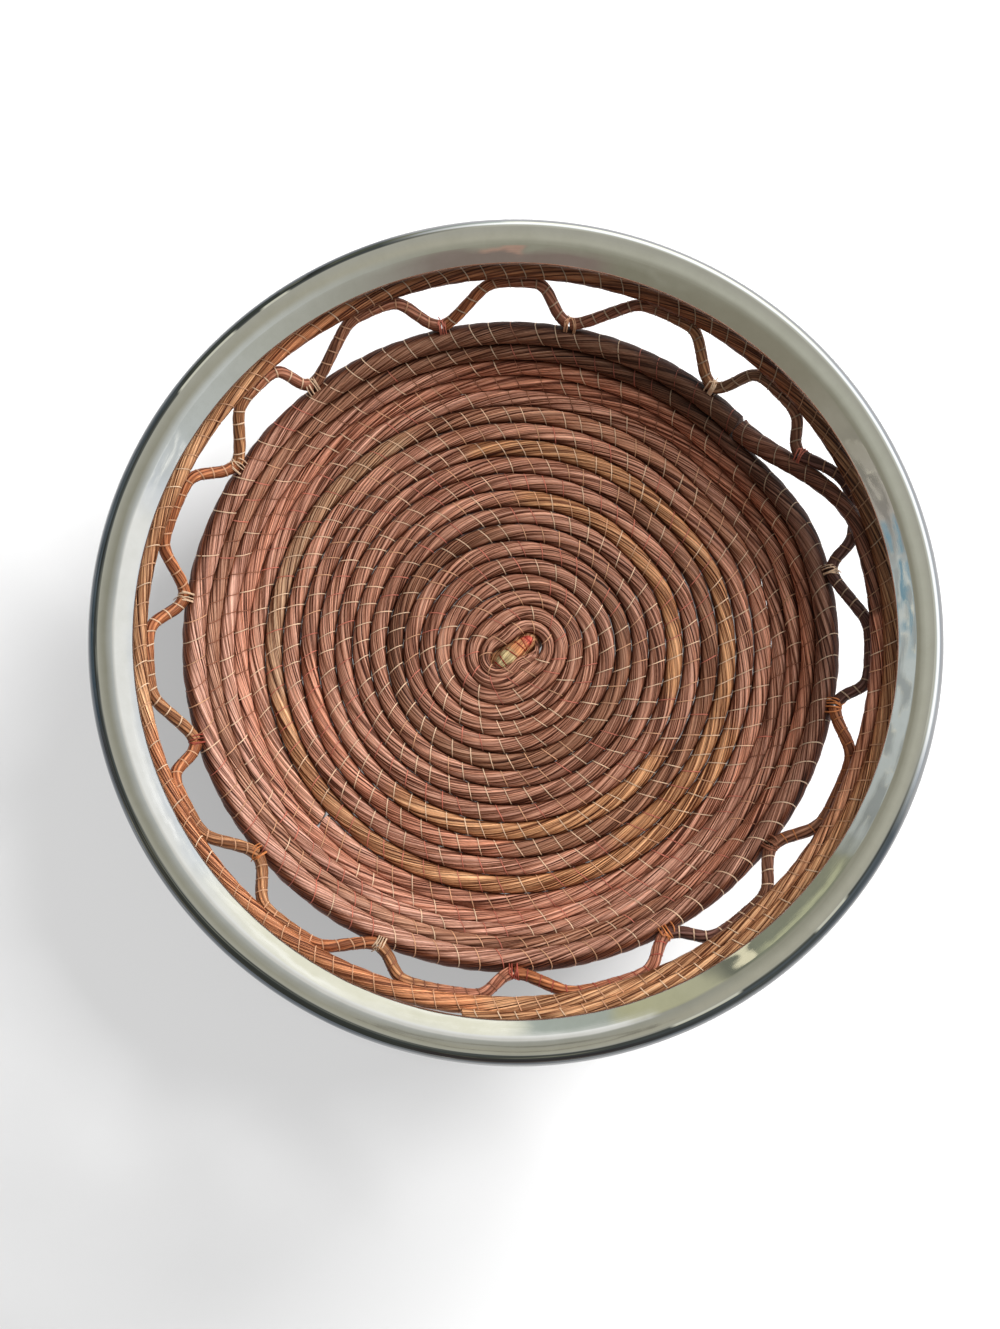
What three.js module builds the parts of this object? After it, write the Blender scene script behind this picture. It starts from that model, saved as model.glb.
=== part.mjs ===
// Round serving tray of coiled straw with an openwork gallery and a polished metal ring.
// Millimetres and degrees, +Z up. The tray stands on z = 0 and the axis of the metal ring is the Z axis.
// Seen from above, the straw bundle starts beside the core and winds outward clockwise: it makes the
// flat floor, climbs the wall, lifts off the wall's edge and goes on as the rim coil under the ring.
import * as THREE from "three";

// Metal ring: a steep lip that rises outward to a crease, then a domed top that ends in a rolled bead
const ringOutside = 350;
const ringBeadRadius = 5.8;
const ringBeadHeight = 58.2;
const ringWidth = 17.8;
const ringLipHeight = 50.3;
const ringLipWidth = 6;
const ringLipRise = 9.2;
const ringThickness = 2;
const ringDomeAngle = 42;
const ringRollAngle = -60;

// Base: flat floor, fillet and sloping wall, all one spiral of a straw bundle
const floorBundle = 7.2;
const topBundle = 8.7;
const coilGap = 0.56;
const turns = 19;
const floorStart = 0.62;
const floorTurns = 14.5;
const floorFlatRadius = 114;
const wallFilletRadius = 14;
const wallSlope = 52;
const baseShift = -1.6;
const undersideCut = 0.1;

// The eye of the spiral lies off the base's axis, and its first turns swell into an oval of thinner bundles
const eyeShiftX = 1.3;
const eyeShiftY = -3.9;
const eyeSwell = 6.5;
const eyeOval = 4.4;
const eyeOvalTurn = 26;
const eyeFade = 3.6;
const stepPower = 1.65;

// Rim coil: the same bundle, thinner, first low and then one full turn later above its own start
const rimBundle = 5.8;
const rimStepOut = 3.6;
const rimStepUp = 5.2;
const liftStart = 43;
const liftSpan = 27;
const lowRunEnd = 138;
const highRunStart = 188;
const rimCoilSweep = 501;
const rimTaperSweep = 30;
const rimTaperEnd = 0.55;

// Gallery: arches tied to the top turn of the base and tucked under the rim coil
const archBundle = 4.8;
const archTuck = 17;
const crossingSpan = 10.5;
const crossingTuck = -126;
const crossingRoom = 2.6;
const seatLean = 35;
const seatGap = 0.35;
const kneeReach = 4.6;
const cornerRound = 5.5;
const knotBeforeLift = 55.3;
// Each arch, anticlockwise from the first knot: degrees between its knots, and where each leg meets the rim
const arches = [
  { span: 23.8, lead: 3.8, trail: 9.6 },
  { span: 19.7, lead: 4, trail: 4.8 },
  { span: 20.1, lead: 6.4, trail: 3.8 },
  { span: 28.2, lead: 7.9, trail: 10.1 },
  { span: 23, lead: 5.8, trail: 8.2 },
  { span: 25.5, lead: 6.8, trail: 10.1 },
  { span: 19.9, lead: 3.6, trail: 7.4 },
  { span: 25.3, lead: 6.1, trail: 7 },
  { span: 25.6, lead: 5.7, trail: 8.4 },
  { span: 22.4, lead: 3.8, trail: 7.7 },
  { span: 25.7, lead: 6, trail: 8.3 },
  { span: 23.4, lead: 4.5, trail: 5.2 },
  { span: 27.1, lead: 8.1, trail: 5.4 },
  { span: 23.3, lead: 5, trail: 6.6 },
  { span: 27, lead: 6.5, trail: 7.5 },
];

// Ties that bind each pair of arch feet to the coil below
const tieThickness = 1;
const tieLength = 3;

// Core: the folded end of the first bundle in its tight first fold, an oblong plug inside the spiral
const coreLength = 19.6;
const coreThickness = 10.2;
const coreOffset = 1.2;
const coreHeight = 6;
const coreTurn = 42;

// Faceting
const baseSteps = 24;
const floorSides = 6;
const wallSides = 8;
const rimSteps = 48;
const archSides = 6;
const topRunStep = 3.5;
const ringSteps = 60;
const domeSteps = 4;
const beadSteps = 7;
const tieSteps = 6;
const coreSteps = 8;
const cornerSteps = 3;
const gentleCorner = 12;

const radians = THREE.MathUtils.degToRad;
const up = new THREE.Vector3(0, 0, 1);

function straw(color) {
  return new THREE.MeshStandardMaterial({ color, roughness: 0.6, metalness: 0 });
}

function named(name, geometry, material) {
  const mesh = new THREE.Mesh(geometry, material);
  mesh.name = name;
  return mesh;
}

function smooth(x) {
  const t = THREE.MathUtils.clamp(x, 0, 1);
  return t * t * (3 - 2 * t);
}

function around(angle, radius, height, shift) {
  const a = radians(angle);
  return new THREE.Vector3(shift + radius * Math.cos(a), radius * Math.sin(a), height);
}

// A round section for a bundle one unit wide, with its underside cut flat
function roundSection(sides, phase) {
  const lowest = undersideCut - 0.5;
  return Array.from({ length: sides }, (_, k) => {
    const a = (2 * Math.PI * (k + phase)) / sides;
    return new THREE.Vector2(Math.cos(a) / 2, Math.max(Math.sin(a) / 2, lowest));
  });
}

// The section's corners round one place of a bundle, with its first axis turned away from the middle
function sectionCorners({ centres, alongs, widths, section }, i) {
  const outward = new THREE.Vector3(centres[i].x, centres[i].y, 0).projectOnPlane(alongs[i]).normalize();
  const side = alongs[i].clone().cross(outward);
  return section.map((p) =>
    centres[i].clone().addScaledVector(outward, p.x * widths[i]).addScaledVector(side, p.y * widths[i]),
  );
}

// One closed tube along the centres
function tube(winding) {
  const sides = winding.section.length;
  const rings = winding.centres.length;
  const corners = winding.centres.flatMap((_, i) => sectionCorners(winding, i));
  const index = [];
  for (let i = 0; i < rings - 1; i += 1) {
    for (let k = 0; k < sides; k += 1) {
      const a = i * sides + k;
      const b = i * sides + ((k + 1) % sides);
      index.push(a, b, b + sides, a, b + sides, a + sides);
    }
  }
  const last = (rings - 1) * sides;
  for (let k = 1; k < sides - 1; k += 1) {
    index.push(0, k + 1, k);
    index.push(last, last + k, last + k + 1);
  }
  const geometry = new THREE.BufferGeometry().setFromPoints(corners);
  geometry.setIndex(index);
  geometry.computeVertexNormals();
  return geometry;
}

// Least distance between the corners of one turn and those of the turns next to it
function leastGap(winding, stepsPerTurn) {
  const corners = winding.centres.map((_, i) => sectionCorners(winding, i));
  let least = Infinity;
  for (let i = 0; i < corners.length; i += 1) {
    for (let j = i + Math.ceil(stepsPerTurn / 2); j < corners.length; j += 1) {
      for (const p of corners[i]) {
        for (const q of corners[j]) {
          least = Math.min(least, p.distanceTo(q));
        }
      }
    }
  }
  return least;
}

// Places on a winding, counted in turns, on the same angles in every turn
function turnPlaces(from, to, steps) {
  const leastStep = 0.3;
  const places = [from];
  for (let k = Math.ceil(from * steps + leastStep); k <= Math.floor(to * steps - leastStep); k += 1) {
    places.push(k / steps);
  }
  places.push(to);
  return places;
}

// A winding's centres, directions and widths, from the functions that place it
function wound(places, placeAt, widthAt, section) {
  const nearby = 0.01;
  const alongs = places.map((t) => placeAt(t + nearby).sub(placeAt(t - nearby)).normalize());
  return { centres: places.map(placeAt), alongs, widths: places.map(widthAt), section };
}

// Profile of the base: from a distance along it to the radius and height of the bundle's middle
const coilPitch = floorBundle + coilGap;
const topPitch = (floorBundle + topBundle) / 2 + coilGap;
const profileLength = coilPitch * (turns - 1) + topPitch;
const floorLevel = floorBundle * (0.5 - undersideCut);

function baseProfile(distance) {
  const slope = radians(wallSlope);
  const flat = Math.min(distance, floorFlatRadius);
  const bend = THREE.MathUtils.clamp((distance - flat) / wallFilletRadius, 0, slope);
  const straight = distance - flat - bend * wallFilletRadius;
  return {
    radius: flat + wallFilletRadius * Math.sin(bend) + straight * Math.cos(slope),
    height: floorLevel + wallFilletRadius * (1 - Math.cos(bend)) + straight * Math.sin(slope),
  };
}

// Inner turns grow evenly, outer ones more and more in one step under the lift-off
function turnGrowth(turn, whole) {
  const part = turn - whole;
  const step = smooth((part * 360) / liftSpan);
  return THREE.MathUtils.lerp(part, step, (turn / turns) ** stepPower);
}

// How far the oval eye pushes a place of the bundle outward, which fades as the bundle winds out
function eyeBulge(turn) {
  const oval = Math.cos(2 * radians(liftStart - 360 * turn - eyeOvalTurn));
  return (eyeSwell + eyeOval * oval) * Math.exp(-turn / eyeFade);
}

function basePlace(turn) {
  const whole = Math.min(Math.floor(turn), turns - 1);
  const pitch = whole === turns - 1 ? topPitch : coilPitch;
  const distance = coilPitch * whole + pitch * turnGrowth(turn, whole);
  const { radius, height } = baseProfile(distance);
  const place = around(liftStart - 360 * turn, radius + eyeBulge(turn), height, baseShift);
  const drift = 1 - distance / profileLength;
  return place.add(new THREE.Vector3(eyeShiftX * drift, eyeShiftY * drift, 0));
}

// The bundle is thinner by as much as the fading bulge brings its turns together
function baseWidth(turn) {
  const thinned = floorBundle - eyeBulge(turn) / eyeFade;
  return THREE.MathUtils.lerp(thinned, topBundle, smooth(((turn - turns + 1) * 360) / liftSpan));
}

function baseCoil(from, to, section) {
  return wound(turnPlaces(from, to, baseSteps), basePlace, baseWidth, section);
}

// Heights of the rim coil, from the lip of the metal ring down
const ringBeadMiddle = ringOutside / 2 - ringBeadRadius;
const lipPoint = new THREE.Vector2(ringOutside / 2 - ringWidth, ringLipHeight);
const creasePoint = lipPoint.clone().add(new THREE.Vector2(ringLipWidth, ringLipRise));
const lipSlope = creasePoint.clone().sub(lipPoint).normalize();
const lipUnderside = lipPoint.y - ringThickness * lipSlope.x;
const rimHigh = { radius: lipPoint.x, height: lipUnderside - seatGap - rimBundle / 2 };
const rimLow = { radius: rimHigh.radius - rimStepOut, height: rimHigh.height - rimStepUp };
const baseEdge = baseProfile(profileLength);

function between(a, b, share) {
  return {
    radius: THREE.MathUtils.lerp(a.radius, b.radius, share),
    height: THREE.MathUtils.lerp(a.height, b.height, share),
  };
}

// The rim coil's middle, a number of degrees clockwise from where it lifts off the base
function rimPlace(travel) {
  const lifted = smooth(travel / liftSpan);
  const rise = smooth((travel - lowRunEnd) / (highRunStart - lowRunEnd));
  const { radius, height } =
    lifted < 1 ? between(baseEdge, rimLow, lifted) : between(rimLow, rimHigh, rise);
  return around(liftStart - travel, radius, height, baseShift * (1 - lifted));
}

function rimWidth(travel) {
  const full = THREE.MathUtils.lerp(topBundle, rimBundle, smooth(travel / liftSpan));
  return full * THREE.MathUtils.lerp(rimTaperEnd, 1, smooth((rimCoilSweep - travel) / rimTaperSweep));
}

function rimCoil() {
  const start = THREE.MathUtils.radToDeg(seatGap / baseEdge.radius);
  const travels = turnPlaces(start / 360, rimCoilSweep / 360, rimSteps).map((turn) => 360 * turn);
  return wound(travels, rimPlace, rimWidth, roundSection(wallSides, 0.5));
}

// Degrees clockwise from the lift-off, on the rim coil's first pass
function travelTo(angle) {
  return THREE.MathUtils.euclideanModulo(liftStart - angle, 360);
}

// An arch runs under the lowest rim coil, and crosses from outside it to under it where the coil lifts off
function archTop(angle) {
  const first = travelTo(angle);
  const travel = first < liftSpan - crossingSpan ? first + 360 : first;
  const crossing = THREE.MathUtils.clamp((liftSpan - travel) / crossingSpan, 0, 1);
  const tuck = radians(THREE.MathUtils.lerp(archTuck, crossingTuck, crossing));
  const reach = (archBundle + rimWidth(travel)) / 2 + seatGap + crossingRoom * crossing;
  const coil = rimPlace(travel);
  const inward = new THREE.Vector3(-coil.x, -coil.y, 0).normalize();
  return coil.addScaledVector(inward, reach * Math.sin(tuck)).addScaledVector(up, -reach * Math.cos(tuck));
}

// The coil that an arch's foot stands on: the lifted one near the lift-off, elsewhere the base's top turn
function coilBelow(angle) {
  const travel = travelTo(angle);
  if (travel < liftSpan) {
    return { place: rimPlace(travel), width: rimWidth(travel) };
  }
  const turn = turns - 1 + travel / 360;
  return { place: basePlace(turn), width: baseWidth(turn) };
}

// A knot's own axes: along the coil, up from its seat, and across, with its middle amid the arch feet
function knotFrame(angle) {
  const nearby = 0.5;
  const { place, width } = coilBelow(angle);
  const along = coilBelow(angle + nearby).place.sub(coilBelow(angle - nearby).place).normalize();
  const outward = new THREE.Vector3(place.x - baseShift, place.y, 0).normalize();
  const lean = radians(seatLean);
  const seat = outward.multiplyScalar(Math.sin(lean)).addScaledVector(up, Math.cos(lean));
  seat.projectOnPlane(along).normalize();
  const height = (width + archBundle) / 2 + seatGap;
  return { along, seat, width, height, middle: place.addScaledVector(seat, height) };
}

// Rounds a path's sharp corners with short curves, which take less of a stretch that two corners share
function roundedPath(points, size) {
  const shareOfEnd = 0.65;
  const shareOfStretch = 0.45;
  const path = [points[0]];
  for (let i = 1; i < points.length - 1; i += 1) {
    const [before, corner, after] = points.slice(i - 1, i + 2);
    const back = before.clone().sub(corner);
    const ahead = after.clone().sub(corner);
    if (Math.PI - back.angleTo(ahead) < radians(gentleCorner)) {
      path.push(corner);
      continue;
    }
    const behind = i === 1 ? shareOfEnd : shareOfStretch;
    const beyond = i === points.length - 2 ? shareOfEnd : shareOfStretch;
    const cutBack = Math.min(size, back.length() * behind);
    const cutAhead = Math.min(size, ahead.length() * beyond);
    const from = corner.clone().addScaledVector(back.normalize(), cutBack);
    const to = corner.clone().addScaledVector(ahead.normalize(), cutAhead);
    path.push(...new THREE.QuadraticBezierCurve3(from, corner, to).getPoints(cornerSteps));
  }
  path.push(points[points.length - 1]);
  return path;
}

function arch(fromAngle, { span, lead, trail }) {
  const first = knotFrame(fromAngle);
  const last = knotFrame(fromAngle + span);
  const runSteps = Math.ceil((span - lead - trail) / topRunStep);
  const run = Array.from({ length: runSteps + 1 }, (_, k) =>
    archTop(fromAngle + lead + ((span - lead - trail) * k) / runSteps),
  );
  const corners = [
    first.middle.clone().addScaledVector(first.along, seatGap / 2),
    first.middle.clone().addScaledVector(first.along, kneeReach),
    ...run,
    last.middle.clone().addScaledVector(last.along, -kneeReach),
    last.middle.clone().addScaledVector(last.along, -seatGap / 2),
  ];
  const centres = roundedPath(corners, cornerRound);
  const alongs = centres.map((_, i) =>
    centres[Math.min(i + 1, centres.length - 1)].clone().sub(centres[Math.max(i - 1, 0)]).normalize(),
  );
  const widths = centres.map(() => archBundle);
  return tube({ centres, alongs, widths, section: roundSection(archSides, 0) });
}

// A tie: a horseshoe over the feet, whose legs reach down to the coil
function knotTie(angle) {
  const { along, seat, width, height, middle } = knotFrame(angle);
  const inner = archBundle / 2 + seatGap;
  const outer = inner + tieThickness;
  const clearOfCoil = width / 2 + seatGap;
  const reach = height - Math.sqrt(Math.max(clearOfCoil ** 2 - inner ** 2, 0));
  const shape = new THREE.Shape();
  shape.moveTo(outer, -reach);
  shape.lineTo(outer, 0);
  shape.absarc(0, 0, outer, 0, Math.PI, false);
  shape.lineTo(-outer, -reach);
  shape.lineTo(-inner, -reach);
  shape.lineTo(-inner, 0);
  shape.absarc(0, 0, inner, Math.PI, 0, true);
  shape.lineTo(inner, -reach);
  const settings = { depth: tieLength, bevelEnabled: false, curveSegments: tieSteps };
  const geometry = new THREE.ExtrudeGeometry(shape, settings);
  geometry.translate(0, 0, -tieLength / 2);
  const across = seat.clone().cross(along);
  geometry.applyMatrix4(new THREE.Matrix4().makeBasis(across, seat, along).setPosition(middle));
  return geometry;
}

// Metal ring: the outside of its lip, dome and bead, closed by an inside one wall's thickness behind it
function metalRing() {
  const beadTop = new THREE.Vector2(ringBeadMiddle, ringBeadHeight + ringBeadRadius);
  const domeRise = beadTop.y - creasePoint.y;
  const shoulder = new THREE.Vector2(creasePoint.x + domeRise / Math.tan(radians(ringDomeAngle)), beadTop.y);
  const dome = new THREE.QuadraticBezierCurve(creasePoint, shoulder, beadTop).getPoints(domeSteps);
  const bead = Array.from({ length: beadSteps }, (_, k) => {
    const a = radians(THREE.MathUtils.lerp(90, ringRollAngle, (k + 1) / beadSteps));
    return new THREE.Vector2(Math.cos(a), Math.sin(a))
      .multiplyScalar(ringBeadRadius)
      .add(new THREE.Vector2(ringBeadMiddle, ringBeadHeight));
  });
  const outside = [lipPoint, ...dome, ...bead];
  const inside = outside.map((point, i) => {
    const before = outside[Math.max(i - 1, 0)];
    const after = outside[Math.min(i + 1, outside.length - 1)];
    const along = after.clone().sub(before).normalize();
    return new THREE.Vector2(along.y, -along.x).multiplyScalar(ringThickness).add(point);
  });
  const profile = [...outside, ...inside.reverse(), lipPoint.clone()];
  const geometry = new THREE.LatheGeometry(profile.reverse(), ringSteps);
  geometry.rotateX(Math.PI / 2);
  return geometry;
}

// Core: an oblong with round ends, standing on the same plane as the floor
function corePlug() {
  const end = coreThickness / 2;
  const straight = coreLength / 2 - end;
  const shape = new THREE.Shape();
  shape.absarc(straight, 0, end, -Math.PI / 2, Math.PI / 2, false);
  shape.absarc(-straight, 0, end, Math.PI / 2, (3 * Math.PI) / 2, false);
  const settings = { depth: coreHeight, bevelEnabled: false, curveSegments: coreSteps };
  const geometry = new THREE.ExtrudeGeometry(shape, settings);
  geometry.translate(0, -coreOffset, 0);
  geometry.rotateZ(radians(coreTurn));
  geometry.translate(baseShift + eyeShiftX, eyeShiftY, 0);
  return geometry;
}

const tray = new THREE.Group();
const floorCoil = baseCoil(floorStart, floorTurns, roundSection(floorSides, 0));
const wallStart = floorTurns + seatGap / (2 * Math.PI * floorFlatRadius);
const wallCoil = baseCoil(wallStart, turns, roundSection(wallSides, 0.5));
const rim = rimCoil();

console.log("least gap of the floor coil to itself:", leastGap(floorCoil, baseSteps).toFixed(2));
console.log("least gap of the wall coil to itself:", leastGap(wallCoil, baseSteps).toFixed(2));
console.log("least gap of the rim coil to itself:", leastGap(rim, rimSteps).toFixed(2));

tray.add(named("core_knot", corePlug(), straw(0xb4583a)));
tray.add(named("floor_coil", tube(floorCoil), straw(0x8d5b45)));
tray.add(named("wall_coil", tube(wallCoil), straw(0x744636)));
tray.add(named("rim_coil", tube(rim), straw(0x7c4a33)));

let knotAngle = liftStart - knotBeforeLift;
arches.forEach((shape, i) => {
  const number = String(i + 1).padStart(2, "0");
  tray.add(named(`arch_${number}`, arch(knotAngle, shape), straw(0x9a5d3c)));
  tray.add(named(`knot_tie_${number}`, knotTie(knotAngle), straw(0xd9b48a)));
  knotAngle += shape.span;
});

const metal = new THREE.MeshStandardMaterial({ color: 0xb5b9b2, roughness: 0.15, metalness: 1 });
tray.add(named("metal_rim", metalRing(), metal));

export default tray;
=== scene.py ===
"""Looks of the coiled straw tray with its polished metal ring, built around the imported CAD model.

Lengths are in millimetres until a mesh is made, and angles in degrees, as in the part's own source.
"""
import math

import bpy
import numpy as np
from numpy.random import default_rng
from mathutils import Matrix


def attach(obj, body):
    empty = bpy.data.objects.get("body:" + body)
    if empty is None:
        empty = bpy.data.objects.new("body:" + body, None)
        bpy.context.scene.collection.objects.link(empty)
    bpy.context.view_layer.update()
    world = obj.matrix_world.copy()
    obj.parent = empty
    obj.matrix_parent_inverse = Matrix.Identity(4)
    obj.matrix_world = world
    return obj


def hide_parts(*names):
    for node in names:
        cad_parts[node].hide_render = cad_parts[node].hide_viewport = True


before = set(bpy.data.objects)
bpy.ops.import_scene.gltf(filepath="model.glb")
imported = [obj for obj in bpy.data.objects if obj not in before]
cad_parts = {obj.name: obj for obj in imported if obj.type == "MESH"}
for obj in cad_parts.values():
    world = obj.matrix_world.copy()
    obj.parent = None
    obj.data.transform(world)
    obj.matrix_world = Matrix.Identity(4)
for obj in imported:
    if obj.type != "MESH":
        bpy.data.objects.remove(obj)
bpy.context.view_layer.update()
scene = bpy.context.scene

MM = 0.001
UP = np.array([0, 0, 1])

# Base, as the CAD places it
FLOOR_BUNDLE, TOP_BUNDLE, COIL_GAP = 7.2, 8.7, 0.56
TURNS, FLOOR_TURNS = 19, 14.5
FLOOR_FLAT_RADIUS, WALL_FILLET_RADIUS, WALL_SLOPE = 114, 14, 52
BASE_SHIFT, UNDERSIDE_CUT = -1.6, 0.1
EYE_SHIFT_X, EYE_SHIFT_Y, EYE_SWELL, EYE_OVAL, EYE_OVAL_TURN = 1.3, -3.9, 6.5, 4.4, 26
EYE_FADE, STEP_POWER = 3.6, 1.65

# The bundle's first fold beside the core, which only the visual model has: where it starts, in turns, and
# where the core pushes it out and squeezes it
FOLD_START, FOLD_MIDDLE, FOLD_REACH, FOLD_PUSH, FOLD_SQUEEZE = 0.04, 0.27, 0.16, 1.2, 1.5
START_THINNESS, START_TAPER = 0.3, 0.16

# Core and the straw packed round it: half lengths, thicknesses and heights
CORE_TURN, CORE_HALF, CORE_THICK, CORE_LEVEL, CORE_SAG = 40, 10.4, 7.2, 4.6, 0.012
PACK_HALF, PACK_THICK, PACK_DEPTH = 15.5, 14, 1.7

# Rim coil, as the CAD places it
RIM_BUNDLE, RIM_STEP_OUT, RIM_STEP_UP = 5.8, 3.6, 5.2
LIFT_START, LIFT_SPAN, LOW_RUN_END, HIGH_RUN_START = 43, 27, 138, 188
RIM_COIL_SWEEP, RIM_TAPER_SWEEP, RIM_TAPER_END = 501, 30, 0.55
RIM_RADIUS, RIM_HEIGHT = 157.2, 46.0

# How much fatter and further out the rim coil is than in the CAD: on its low run, where it bows out at
# the lower left, and on its high run, each with where its changes start and their lengths, in degrees
LOW_RUN_SWELL, LOW_RUN_SHIFT, BOW_SWELL, BOW_SHIFT, HIGH_RUN_SHIFT = 1.3, 0.7, 1.2, 1.5, 0.5
LOW_RUN, BOW, HIGH_RUN = (60, 25, 132, 20), (130, 18, 162, 26), (160, 40)

# Gallery, as the CAD places it
ARCH_BUNDLE, ARCH_TUCK = 4.8, 17
CROSSING_SPAN, CROSSING_TUCK, CROSSING_ROOM = 10.5, -126, 2.6
SEAT_LEAN, SEAT_GAP, KNEE_REACH, ARCH_ROUNDING = 35, 0.35, 3.4, 3.9
KNOT_BEFORE_LIFT, TOP_RUN_STEP = 55.3, 3.5
ARCHES = [
    (23.8, 3.8, 9.6), (19.7, 4, 4.8), (20.1, 6.4, 3.8), (28.2, 7.9, 10.1), (23, 5.8, 8.2),
    (25.5, 6.8, 10.1), (19.9, 3.6, 7.4), (25.3, 6.1, 7), (25.6, 5.7, 8.4), (22.4, 3.8, 7.7),
    (25.7, 6, 8.3), (23.4, 4.5, 5.2), (27.1, 8.1, 5.4), (23.3, 5, 6.6), (27, 6.5, 7.5),
]  # degrees from knot to knot, and how far in the two legs meet the rim

# Straw and thread: how much fuller the real bundles are than the CAD's, and how they are sewn
BUNDLE_SWELL, RIM_SWELL, ARCH_SWELL, FLOOR_LIFT = 0.8, 0.6, 0.4, 0.6
STITCH_SLANT = math.tan(math.radians(27))
STRAND_TWIST = 2 * math.pi / 130
STITCH_DRAW, DRAW_REACH, SPLICE_LENGTH = 0.055, 1.5, 14
THREAD_WIDTH, THREAD_HEIGHT, THREAD_SINK = 0.66, 0.2, 0.35
FLOOR_SPACING, WALL_SPACING, RIM_SPACING, WRAP_SPACING = 8.9, 9.6, 8.6, 5.6

# Ring, and its painted reflections and highlights, which begin and end at radii in metres; its painted
# highlight dashes are in degrees round from the right
RING_SHEET, RING_STEPS, RING_SPOTS, SLOPE_FULLNESS = 1.2, 288, 91, 0.24
DARK_REFLECTION_SIDE = (-0.77, -0.64, 0)
ROLL_START, OUTERMOST, REFLECTION_FADE_EDGE = (0.1699, 0.1704), (0.1721, 0.1726), (0.1736, 0.1744)
DIM_REFLECTION_START, DIM_REFLECTION_END, GLINT_BAND = (0.1632, 0.164), (0.1662, 0.169), (0.1693, 0.1702)
PAINTED_GLINTS = [(124, 128.5), (133.5, 145), (-69, -59), (-46, -40)]

# Light: the window's azimuth, and each lamp's elevation, distance, width, height and power
WINDOW_AZIMUTH = 38
WINDOW_LAMP = (36, 1.45, 1.0, 1.0, 22)
FLOOR_LAMP = (12, 1.6, 0.85, 0.36, 360)

# Floor, room and camera, in metres and degrees, with the height in the room that the ring's slope shows
FLOOR_SIZE, FLOOR_DROP, FLOOR_GREY = 8.0, 0.0002, 0.24
ROOM_RADIUS, SLOPE_MIDDLE, SLOPE_SINKS = 3.0, 18, 8
CAMERA_LENS, SENSOR_WIDTH, CAMERA_PITCH = 33.18, 36, 83.08
CAMERA_PLACE = (-0.0064, -0.0762, 0.554)
IN_DEGREES = 180 / math.pi


def srgb(red, green, blue):
    """A colour as read from a screen, in linear light."""
    values = np.array([red, green, blue]) / 255
    return np.where(values < 0.04045, values / 12.92, ((values + 0.055) / 1.055) ** 2.4)


STRAW = {
    "mauve": srgb(164, 111, 88),
    "red": srgb(164, 104, 79),
    "gold": srgb(172, 118, 80),
    "olive": srgb(156, 114, 85),
    "umber": srgb(144, 96, 72),
    "plum": srgb(108, 72, 62),
    "rust": srgb(174, 106, 68),
    "salmon": srgb(198, 130, 102),
}
THREAD = {
    "cream": srgb(240, 206, 172),
    "peach": srgb(222, 170, 132),
    "salmon": srgb(205, 120, 100),
    "red": srgb(180, 88, 72),
    "brown": srgb(150, 96, 72),
    "orange": srgb(222, 140, 84),
}

# Painted shade down in the grooves, where neighbouring turns touch: what the straw keeps of its colour
# there
GROOVE_SHADE_TINT, GROOVE_SHADE_START = np.array([0.3, 0.17, 0.1]), 0.66

# Painted light: what the straw gains where it faces the window; painted shade: where, past its lift, the
# rim coil is dark beneath it
PAINTED_WINDOW_LIGHT_TINT = np.array([1.08, 1.2, 1.33])
PAINTED_SHADE_BENEATH_WINDOW = (265, 25, 385, 40)


def smooth(x):
    t = np.clip(x, 0, 1)
    return t * t * (3 - 2 * t)


def lerp(a, b, share):
    return a + (b - a) * share


def unit(vectors):
    return vectors / np.linalg.norm(vectors, axis=-1, keepdims=True)


def level(azimuth):
    """A level direction, in degrees round from the right."""
    return math.cos(math.radians(azimuth)), math.sin(math.radians(azimuth)), 0


def outward_at(place, shift=0):
    """The level direction away from an axis a shift to the right of the middle."""
    return unit(place * [1, 1, 0] - [shift, 0, 0])


def around(angle, radius, height, shift):
    a = np.radians(angle)
    return np.stack([shift + radius * np.cos(a), radius * np.sin(a), height + 0 * a], axis=-1)


COIL_PITCH = FLOOR_BUNDLE + COIL_GAP
TOP_PITCH = (FLOOR_BUNDLE + TOP_BUNDLE) / 2 + COIL_GAP
PROFILE_LENGTH = COIL_PITCH * (TURNS - 1) + TOP_PITCH
FLOOR_LEVEL = FLOOR_BUNDLE * (0.5 - UNDERSIDE_CUT)


def base_profile(distance):
    """Radius, height and slope of the base's profile, a distance along it from the middle."""
    slope = math.radians(WALL_SLOPE)
    flat = np.minimum(distance, FLOOR_FLAT_RADIUS)
    bend = np.clip((distance - flat) / WALL_FILLET_RADIUS, 0, slope)
    straight = distance - flat - bend * WALL_FILLET_RADIUS
    radius = flat + WALL_FILLET_RADIUS * np.sin(bend) + straight * math.cos(slope)
    height = FLOOR_LEVEL + WALL_FILLET_RADIUS * (1 - np.cos(bend)) + straight * math.sin(slope)
    return radius, height, bend


def eye_bulge(turn):
    """How far the oval eye pushes a place of the bundle outward."""
    oval = np.cos(2 * np.radians(LIFT_START - 360 * turn - EYE_OVAL_TURN))
    return (EYE_SWELL + EYE_OVAL * oval) * np.exp(-turn / EYE_FADE)


def first_fold(turn):
    return np.exp(-(((turn - FOLD_MIDDLE) / FOLD_REACH) ** 2))


def base_place(turn):
    """Middle of the bundle and the slope there, a number of turns from the eye."""
    whole = np.minimum(np.floor(turn), TURNS - 1)
    pitch = np.where(whole == TURNS - 1, TOP_PITCH, COIL_PITCH)
    part = turn - whole
    growth = lerp(part, smooth(part * 360 / LIFT_SPAN), (turn / TURNS) ** STEP_POWER)
    distance = COIL_PITCH * whole + pitch * growth
    radius, height, bend = base_profile(distance)
    radius = radius + eye_bulge(turn) + FOLD_PUSH * first_fold(turn)
    drift = (1 - distance / PROFILE_LENGTH)[..., None] * np.array([EYE_SHIFT_X, EYE_SHIFT_Y, 0])
    return around(LIFT_START - 360 * turn, radius, height, BASE_SHIFT) + drift, bend


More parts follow.
